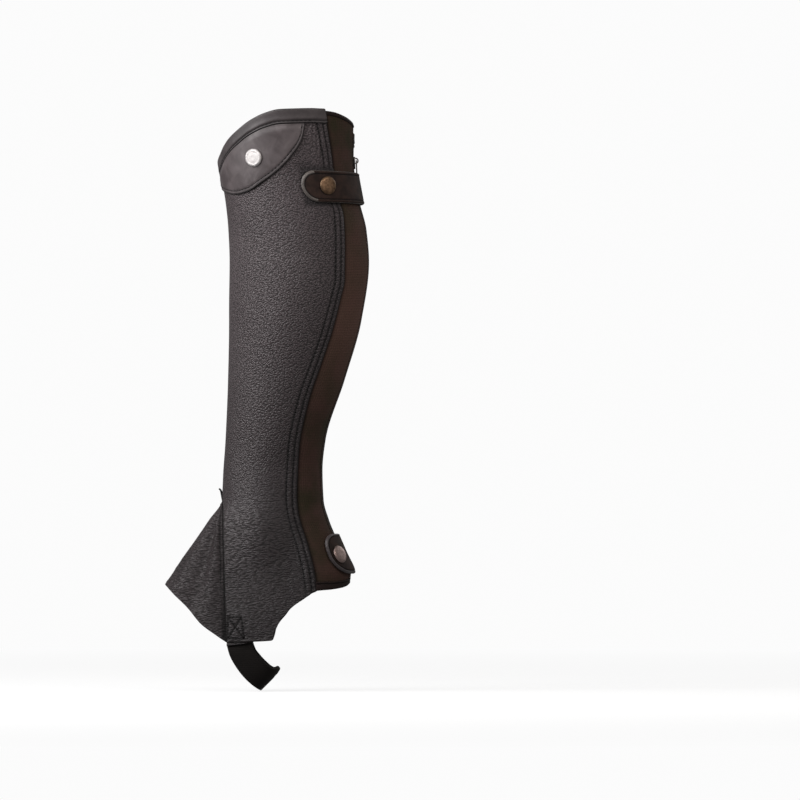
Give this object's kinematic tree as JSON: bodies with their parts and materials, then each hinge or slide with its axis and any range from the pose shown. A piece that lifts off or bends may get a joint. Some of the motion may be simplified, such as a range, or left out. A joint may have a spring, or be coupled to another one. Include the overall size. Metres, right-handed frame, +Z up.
{
  "type": "half chap",
  "caption": "Leather half chap for a left leg: a tube over calf and ankle with an instep gusset, an elastic panel, a back zip, snapped tabs and an underfoot strap.",
  "frame": {"origin": "on the leg's axis at the widest part of the calf, inside the tube", "axes": "+Z up the leg, +X toward the heel, -X toward the toe, -Y the outer side of the left leg"},
  "size_m": [0.1651, 0.1125, 0.4718],
  "materials": {
    "pebbled_leather": "pebbled grain, satin",
    "smooth_leather": "smooth, satin",
    "tab_leather": "fine nap, matt",
    "ribbed_elastic": "ribbed weave, matt",
    "binding_tape": "woven tape, matt",
    "webbing": "woven elastic, matt",
    "zip_fabric": "woven tape, matt",
    "bright_metal": "nickel plated, satin",
    "bronze_metal": "antique bronze, satin"
  },
  "bodies": {
    "chap": {"main_panel": "pebbled_leather", "instep_gusset": "pebbled_leather", "top_patch": "smooth_leather", "top_binding": "smooth_leather", "elastic_panel": "ribbed_elastic", "elastic_binding": "binding_tape", "heel_binding": "binding_tape", "zip_tape_outer": "zip_fabric", "zip_tape_inner": "zip_fabric", "zip_slider": "bright_metal", "top_strap": "tab_leather", "heel_tab": "tab_leather", "foot_strap": "webbing", "badge_snap": "bright_metal", "top_snap": "bronze_metal", "heel_snap": "bronze_metal"},
    "pull": {"zip_pull": "bright_metal"}
  },
  "joints": [
    {"name": "pull_hinge", "type": "hinge", "parent": "chap", "child": "pull", "pos_m": [0.04643, 0, 0.08196], "axis": [0, -1, 0], "range_deg": [0, 170]}
  ]
}
